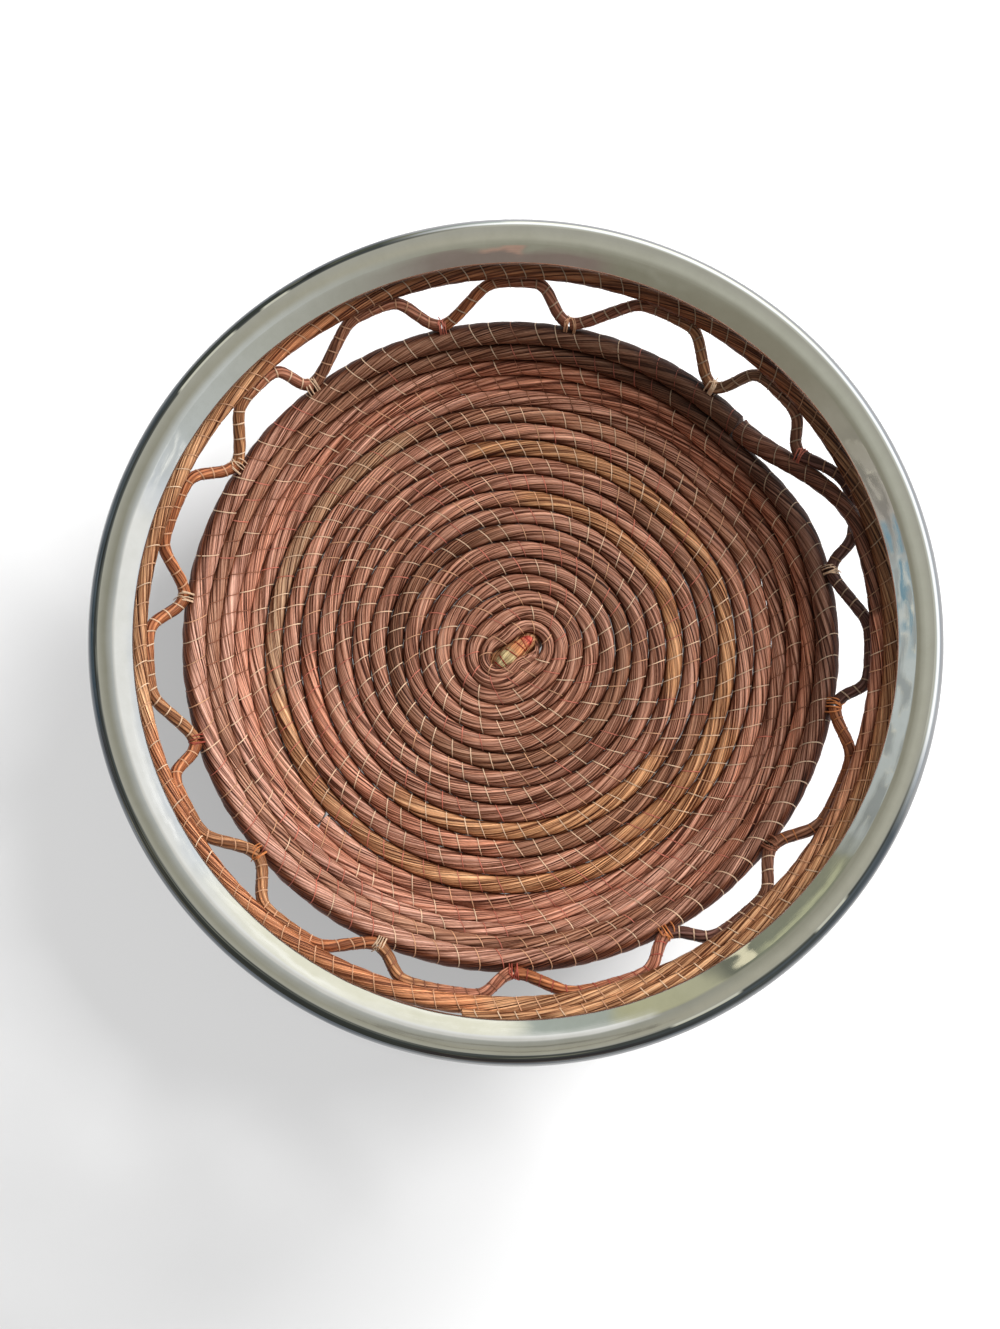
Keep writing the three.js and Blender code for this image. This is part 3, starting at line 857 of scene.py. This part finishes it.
def build_arch(number, angle, span, lead, trail):
    first_along, _, first = knot_frame(angle)
    last_along, _, last = knot_frame(angle + span)
    steps = math.ceil((span - lead - trail) / TOP_RUN_STEP)
    run = [arch_top(a) for a in np.linspace(angle + lead, angle + span - trail, steps + 1)]
    corners = [first + first_along * 0.2, first + first_along * KNEE_REACH, *run]
    corners += [last - last_along * KNEE_REACH, last - last_along * 0.2]
    centres = smoothed_path(corners)
    facing = 0.75 * UP - 0.66 * outward_at(centres)
    arch_path = Path(centres, facing, ARCH_BUNDLE + ARCH_SWELL)
    local = default_rng(100 + number)
    wraps = stitch_places(2.5, arch_path.total - 2.5, WRAP_SPACING, 200 + number)
    start_name, end_name, thread_name = ARCH_LOOKS[number - 1]
    # Painted shade: arches towards the window get darker straw and threads
    near = smooth((math.cos(math.radians(angle + span / 2 - WINDOW_AZIMUTH)) + 0.1) / 0.9)

    def dye_and_shade_of(length):
        share = smooth((length / arch_path.total - 0.25) / 0.5)[..., None]
        tone = lerp(STRAW[start_name], STRAW[end_name], share)
        return tone * (1 - 0.25 * near) * (1 + 0.12 * wander(length, 9, 300 + number))[..., None]

    body = bundle(arch_path, 0, arch_path.total, wraps, 20, dye_and_shade_of, 2.1, 0.04, 0.25, 400 + number)
    colours = THREAD[thread_name] * (1 - 0.5 * near) * local.uniform(0.8, 1.1, (len(wraps), 1))
    slants = local.uniform(0.1, 0.45, len(wraps))
    wrapping = threads(arch_path, wraps, slants, colours, 2.1, 0.8, 12)
    points, faces, attributes, numbers = joined(body, wrapping)
    name = f"arch_{number:02d}"
    made = make_object(name + "_straw", points, faces, [arch_look, thread_look], attributes, numbers)
    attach(made, "root")
    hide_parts(name)


def cord_mesh(centres, thickness, colour, sides=8):
    """A round thread along a line of points."""
    thread_path = Path(centres, np.array([0.12, 0.07, 1.0]), thickness)
    rings = thread_path.length
    angle = 2 * math.pi * np.arange(sides) / sides
    spots, _, out, facing, _ = thread_path.at(rings)
    across = thickness / 2 * round_about(angle, out[:, None], facing[:, None])
    points = spots[:, None] + across
    faces = tube_faces(len(rings), sides)
    own = np.stack(np.broadcast_arrays(rings[:, None], across[..., 0], across[..., 1]), axis=-1)
    dye = np.broadcast_to(colour, points.shape)
    return points.reshape(-1, 3), faces, fibre_attributes(own, dye)


def build_knot(number, angle):
    """The fibre loops that bind two arch feet to the coil they stand on, with two loose ends."""
    along, seat, middle = knot_frame(angle)
    across = np.cross(along, seat)
    local = default_rng(500 + number)
    foot = ARCH_BUNDLE / 2 + 0.4
    strands = []
    tone = THREAD[KNOT_THREADS[number - 1]]
    for place in (-2.0, -0.9, 0.2, 1.1, 2.1):
        lean = local.uniform(-1.6, 1.6)
        turn = np.linspace(-0.5 * math.pi, 1.5 * math.pi, 40)
        blend = smooth((np.sin(turn) + 0.6) / 0.8)
        radius = lerp(0.8 * foot, foot, blend)
        spots = (
            middle
            + along * (place + lean * np.cos(turn))[:, None]
            + across * (radius * np.cos(turn))[:, None]
            + seat * (lerp(-2.6, 0, blend) + radius * np.sin(turn))[:, None]
        )
        strands.append(cord_mesh(spots, local.uniform(0.5, 0.75), tone * local.uniform(0.7, 1.05)))
    for side in (-1, 1):
        reach = np.linspace(0, 1, 12)[:, None]
        swing = along * local.uniform(-3, 3) + across * side * local.uniform(1.5, 4)
        start = middle + seat * foot * 0.95
        spots = start + reach * swing + (1.2 * reach * (1 - reach)) * seat
        strands.append(cord_mesh(spots, 0.45, tone))
    points, faces, attributes, _ = joined(*strands)
    made = make_object(f"knot_{number:02d}_binding", points, faces, [thread_look], attributes)
    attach(made, "root")
    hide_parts(f"knot_tie_{number:02d}")


knot_angle = LIFT_START - KNOT_BEFORE_LIFT
for index, (span, lead, trail) in enumerate(ARCHES):
    build_arch(index + 1, knot_angle, span, lead, trail)
    build_knot(index + 1, knot_angle)
    knot_angle += span


# Core: a short bundle of dyed stalks, bound three times
def build_core():
    middle = np.array([BASE_SHIFT + EYE_SHIFT_X, EYE_SHIFT_Y, 0])
    axis = np.array(level(CORE_TURN))
    reach = np.linspace(-CORE_HALF, CORE_HALF, 90)
    centres = middle + reach[:, None] * axis + (CORE_LEVEL - CORE_SAG * reach**2)[:, None] * UP
    widths = CORE_THICK * np.sqrt(np.clip(1 - (np.abs(reach) / 11) ** 2.6, 0.05, 1))
    core_path = Path(centres, UP, widths)
    bands = np.array([1.8, 4.6, 9.6, 14.2, 16.2, 18.6])

    def dye_and_shade_of(length):
        share = length / core_path.total
        ends = smooth(1 - share / 0.12)[..., None]
        tone = lerp(srgb(232, 206, 152), srgb(226, 150, 100), smooth((share - 0.4) / 0.16)[..., None])
        tone = lerp(tone, srgb(200, 84, 68), smooth((share - 0.74) / 0.14)[..., None])
        return lerp(tone, srgb(176, 88, 76), ends)

    body = bundle(core_path, 0, core_path.total, bands, 28, dye_and_shade_of, 2.2, 0.05, 0.1, 71)
    slants = np.array([0.2, -0.1, 0.25, 0.15, -0.2, 0.1])
    tones = np.array([srgb(150, 44, 34)] * len(bands))
    wrapping = threads(core_path, bands, slants, tones, 2.2, 0.75, 20)
    reach = np.linspace(-PACK_HALF, PACK_HALF, 60)
    centres = middle + reach[:, None] * axis - PACK_DEPTH * UP
    widths = PACK_THICK * np.sqrt(np.clip(1 - (np.abs(reach) / 16) ** 4, 0.05, 1))
    packed_path = Path(centres, UP, widths)
    tucks = np.array([4.0, 12.0, 20.0])
    packed = bundle(packed_path, 0, packed_path.total, tucks, 36, base_dye_and_shade, 2.2, 0.03, 0.1, 72)
    points, faces, attributes, numbers = joined(body, wrapping, packed)
    looks = [core_look, thread_look, straw_look]
    made = make_object("core_stalks", points, faces, looks, attributes, numbers)
    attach(made, "root")
    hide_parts("core_knot")


build_core()


# Metal ring: a steep lip, a soft crease, a gently domed top and a rolled edge
def build_ring():
    lip, crease = np.array([157.35, 54.3]), np.array([163.2, 60.4])
    share = np.linspace(0, 1, 7)[:, None]
    fullness = unit(np.array([lip[1] - crease[1], crease[0] - lip[0]])) * SLOPE_FULLNESS
    slope = lerp(lip, crease, share) + fullness * share * (1 - share)
    under = [(159.4, 52.7), (158.4, 52.6), (157.6, 53.2)]
    dome = [(164.6, 61.5), (166.2, 62.45), (168.0, 63.3), (169.9, 63.95)]
    roll = [
        (171.4, 63.4), (172.7, 62.55), (173.8, 61.3), (174.6, 59.8), (174.95, 58.2),
        (174.9, 56.5), (174.2, 54.7), (172.9, 53.3), (171.9, 52.9),
    ]
    outer = np.concatenate([under, slope, dome, roll])
    length = run_length(outer)
    face = sampled(np.linspace(0, length[-1], RING_SPOTS), length, outer)
    middle = blurred(face, np.array([1, 2, 2, 2, 1]) / 8)
    from_crease = np.linalg.norm(face - crease, axis=-1)[2:-2]
    face[2:-2] = lerp(face[2:-2], middle, smooth((from_crease - 0.5) / 1.2)[:, None])
    direction = unit(np.gradient(face, axis=0))
    normal = np.stack([-direction[:, 1], direction[:, 0]], axis=-1)
    inside = (face - RING_SHEET * normal)[::-1]
    profile = np.concatenate([face, inside])
    angle = 360 * np.arange(RING_STEPS)[:, None] / RING_STEPS
    points = around(angle, profile[:, 0], profile[:, 1], 0)
    faces = wrapped_faces(RING_STEPS, len(profile))
    made = make_object("metal_ring", points, faces, [metal_look])
    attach(made, "root")
    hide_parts("metal_rim")


build_ring()


# Floor, world, light and camera
def build_floor():
    """A floor dim under its lamp, with a glow of its own that the camera and gloss see, lowered under the
    tray as painted shade.
    """
    material, tree, shader = new_material("paper_floor")
    rays = node(tree, "LightPath").outputs
    glossy = rays["Is Glossy Ray"]
    grey = mixed(glossy, (FLOOR_GREY, FLOOR_GREY, FLOOR_GREY, 1), (0, 0, 0, 1))
    away = polar(tree)[2]
    # Painted shade: the glow is lower under the tray than round it, and rises far out
    glow_with_shade = plus(ranged(away, 0.165, 0.19, 0.4, 0.56), ranged(away, 0.4, 1.1, 0, 0.44))
    seen = times(larger(rays["Is Camera Ray"], rays["Is Transmission Ray"]), glow_with_shade)
    feed(shader, {"Base Color": grey, "Emission Strength": larger(seen, glossy)})
    shader.inputs["Emission Color"].default_value = WHITE
    shader.inputs["Roughness"].default_value = 0.9
    shader.inputs["Specular IOR Level"].default_value = 0.0
    bpy.ops.mesh.primitive_plane_add(size=FLOOR_SIZE, location=(0, 0, -FLOOR_DROP))
    made = bpy.context.active_object
    made.name = "floor"
    made.data.materials.append(material)


def build_world():
    """White to the camera and gloss, else a soft fill, strongest from the window's side."""
    world = bpy.data.worlds.new("studio")
    scene.world = world
    tree = empty_tree(world)
    rays = node(tree, "LightPath").outputs
    seen = larger(larger(rays["Is Camera Ray"], rays["Is Glossy Ray"]), rays["Is Transmission Ray"])
    direction = node(tree, "TexCoord").outputs["Generated"]
    toward = vector_maths("DOT_PRODUCT", direction, level(WINDOW_AZIMUTH), "Value")
    strength = ranged(seen, 0, 1, ranged(toward, -1, 1, 0.08, 0.72), 1)
    background = node(tree, "Background", {"Color": WHITE, "Strength": strength})
    node(tree, "OutputWorld", {"Surface": background.outputs[0]})


def oval_distance(across, up, middle, reach):
    """How far a place is from an oval's middle, one being on the oval."""
    x = maths("DIVIDE", minus(across, middle[0]), reach[0])
    y = maths("DIVIDE", minus(up, middle[1]), reach[1])
    return vector_maths("LENGTH", vector_of(x, y), output="Value")


def room_walls(azimuth, rise, drawn_flat, streaks):
    """The walls that the ring's slope shows, by azimuth and rise above its middle."""
    # Grey, brown, grey, window, cream curtain, grey-green and yellowish panels, grey
    stops = [
        (0.0, (0.62, 0.68, 0.68)), (0.02, (0.5, 0.47, 0.43)), (0.06, (0.42, 0.4, 0.33)),
        (0.1, (0.32, 0.3, 0.23)), (0.2, (0.3, 0.29, 0.22)), (0.215, (0.29, 0.23, 0.2)),
        (0.29, (0.3, 0.25, 0.22)), (0.33, (0.45, 0.45, 0.39)), (0.38, (0.57, 0.59, 0.53)),
        (0.44, (0.7, 0.75, 0.75)), (0.475, (0.92, 0.98, 1.06)), (0.622, (0.95, 1.02, 1.1)),
        (0.64, (1.19, 1.19, 1.0)), (0.749, (1.17, 1.17, 0.98)), (0.7515, (0.56, 0.63, 0.58)),
        (0.778, (0.52, 0.58, 0.52)), (0.783, (0.62, 0.62, 0.4)), (0.815, (0.6, 0.6, 0.42)),
        (0.817, (0.24, 0.25, 0.2)), (0.822, (0.22, 0.23, 0.18)), (0.835, (0.3, 0.32, 0.24)),
        (0.88, (0.33, 0.34, 0.25)), (0.885, (0.5, 0.54, 0.52)), (0.95, (0.62, 0.68, 0.68)),
    ]
    walls = ramp(ranged(azimuth, -180, 180), stops)

    # Patches, some teal, at the right
    patches = noise(drawn_flat, (0.15, 0.28, 1), 0.0, 0.5, 0.3)
    others = noise(drawn_flat, (0.15, 0.24, 5), 0.0, 0.5, 0.5)
    varied = larger(banded(azimuth, -180, -158, 8), banded(azimuth, 138, 190, 8))
    walls = tinted(walls, mixed(varied, WHITE, ranged(patches, 0.49, 0.51, 0.72, 1.12)))
    teal_side = larger(banded(azimuth, 168, 200, 4), banded(azimuth, -190, -174, 2))
    walls = mixed(times(ranged(others, 0.53, 0.54), teal_side), walls, (0.25, 0.42, 0.52, 1))
    outline = banded(patches, 0.488, 0.5, 0.006)
    walls = mixed(times(outline, varied), walls, (1.1, 1.05, 0.85, 1))
    gleams = times(ranged(streaks, 0.56, 0.6), banded(azimuth, -20, 90, 3))
    walls = mixed(times(gleams, 0.6), walls, (1.6, 1.62, 1.55, 1))

    # A bright bar in the window, a salmon thing and a leaf: each one's rise, azimuth, strength and colour
    things = [
        ((-0.3, 1.1, 0.5), (14, 40, 3), 1.0, (1.9, 1.95, 2.0, 1)),
        ((0.5, 2.6, 1.2), (-91, -84, 3), 0.8, (0.75, 0.4, 0.3, 1)),
        ((1.0, 3.2, 0.6), (121, 136, 3), 1.0, (0.62, 0.64, 0.42, 1)),
    ]
    for rises, azimuths, share, colour in things:
        thing = times(banded(rise, *rises), banded(azimuth, *azimuths))
        walls = mixed(times(thing, share), walls, colour)

    # A lamp on a stand, seen in the slope at the lower right
    shade = ranged(oval_distance(azimuth, rise, (118, 2), (2, 2.5)), 0.9, 1.05, 1, 0)
    beside_stem = minus(maths("ABSOLUTE", minus(azimuth, 118)), ranged(rise, -4.5, -1.5, 2, 0.6))
    stem = times(ranged(beside_stem, -0.1, 0.1, 1, 0), ranged(rise, 0, 0.5, 1, 0))
    return mixed(larger(shade, stem), walls, (1.05, 1.0, 0.72, 1))


def room_ceiling(flat, reach, elevation):
    """The ceiling that the ring's dome shows, darkest low down opposite the window."""
    toward = maths("DIVIDE", vector_maths("DOT_PRODUCT", flat, level(20), "Value"), reach)
    share = ranged(toward, -1, 1)
    low_stops = [
        (0.0, (0.33, 0.32, 0.25)), (0.45, (0.42, 0.42, 0.34)), (0.8, (0.74, 0.78, 0.76)),
        (1.0, (0.8, 0.85, 0.86)),
    ]
    mid_stops = [(0.0, (0.6, 0.61, 0.52)), (0.5, (0.55, 0.54, 0.44)), (1.0, (0.46, 0.46, 0.38))]
    ceiling = mixed(ranged(elevation, 38, 58), ramp(share, low_stops), ramp(share, mid_stops))
    return mixed(ranged(elevation, 62, 78), ceiling, (0.52, 0.52, 0.45, 1))


def build_room():
    """A room that only gloss shows: walls of several colours under a grey ceiling."""
    material = bpy.data.materials.new("room")
    tree = empty_tree(material)
    _, flat, reach, angle, height = polar(tree)
    elevation = times(maths("ARCTAN2", height, reach), IN_DEGREES)
    azimuth = times(angle, IN_DEGREES)
    # Height above the middle of what the ring's slope shows, which sinks towards the far side
    rise = minus(plus(elevation, times(maths("SINE", angle), SLOPE_SINKS)), SLOPE_MIDDLE)
    drawn_flat = vector_of(azimuth, rise)
    streaks = noise(drawn_flat, (0.05, 0.7, 1), 2.0, 0.5, 0.8)
    walls = room_walls(azimuth, rise, drawn_flat, streaks)
    colour = mixed(ranged(elevation, 26, 30), walls, room_ceiling(flat, reach, elevation))
    window_top = times(banded(azimuth, -10, 104, 6), banded(elevation, 13, 35, 6))
    colour = mixed(window_top, colour, (1.14, 1.16, 1.14, 1))
    # Someone leaning over at the near side, a dark outline in the dome
    leaning = oval_distance(azimuth, elevation, (88, 56), (15, 8))
    leaning = banded(plus(leaning, ranged(streaks, 0.3, 0.7, -0.2, 0.2)), 0.78, 0.95, 0.08)
    colour = mixed(times(leaning, 0.6), colour, (0.2, 0.19, 0.16, 1))
    light = node(tree, "Emission", {"Color": colour, "Strength": 1.0})
    node(tree, "OutputMaterial", {"Surface": light.outputs[0]})
    bpy.ops.mesh.primitive_uv_sphere_add(segments=64, ring_count=32, radius=ROOM_RADIUS)
    room = bpy.context.active_object
    room.name = "room"
    room.data.materials.append(material)
    room.visible_camera = False
    room.visible_diffuse = False
    room.visible_transmission = False
    room.visible_volume_scatter = False
    room.visible_shadow = False


def build_lamp(name, azimuth, elevation, distance, width, height, power):
    """A panel of light that faces the middle of the tray."""
    data = bpy.data.lights.new(name, "AREA")
    data.shape = "RECTANGLE"
    data.size = width
    data.size_y = height
    data.energy = power
    lamp = bpy.data.objects.new(name, data)
    e = math.radians(elevation)
    lamp.location = distance * (np.array(level(azimuth)) * math.cos(e) + UP * math.sin(e))
    lamp.rotation_euler = (math.pi / 2 - e, 0, math.radians(azimuth + 90))
    scene.collection.objects.link(lamp)
    return lamp


def link_light(lamp, receiver_names, state):
    """Gives a lamp's light only to the named objects, or to all but them."""
    receivers = bpy.data.collections.new(lamp.name + "_receivers")
    for name in receiver_names:
        receivers.objects.link(bpy.data.objects[name])
    lamp.light_linking.receiver_collection = receivers
    for receiver in receivers.collection_objects:
        receiver.light_linking.link_state = state


def build_camera():
    data = bpy.data.cameras.new("camera")
    data.lens = CAMERA_LENS
    data.sensor_width = SENSOR_WIDTH
    data.clip_start = 0.01
    camera = bpy.data.objects.new("camera", data)
    camera.location = CAMERA_PLACE
    camera.rotation_euler = (math.radians(90 - CAMERA_PITCH), 0, 0)
    scene.collection.objects.link(camera)
    scene.camera = camera


build_floor()
build_world()
build_room()
window = build_lamp("window", WINDOW_AZIMUTH, *WINDOW_LAMP)
link_light(window, ["metal_ring", "floor"], "EXCLUDE")
low_window = build_lamp("low_window", WINDOW_AZIMUTH + 2, *FLOOR_LAMP)
link_light(low_window, ["floor"], "INCLUDE")
build_camera()
scene.view_settings.view_transform = "Standard"
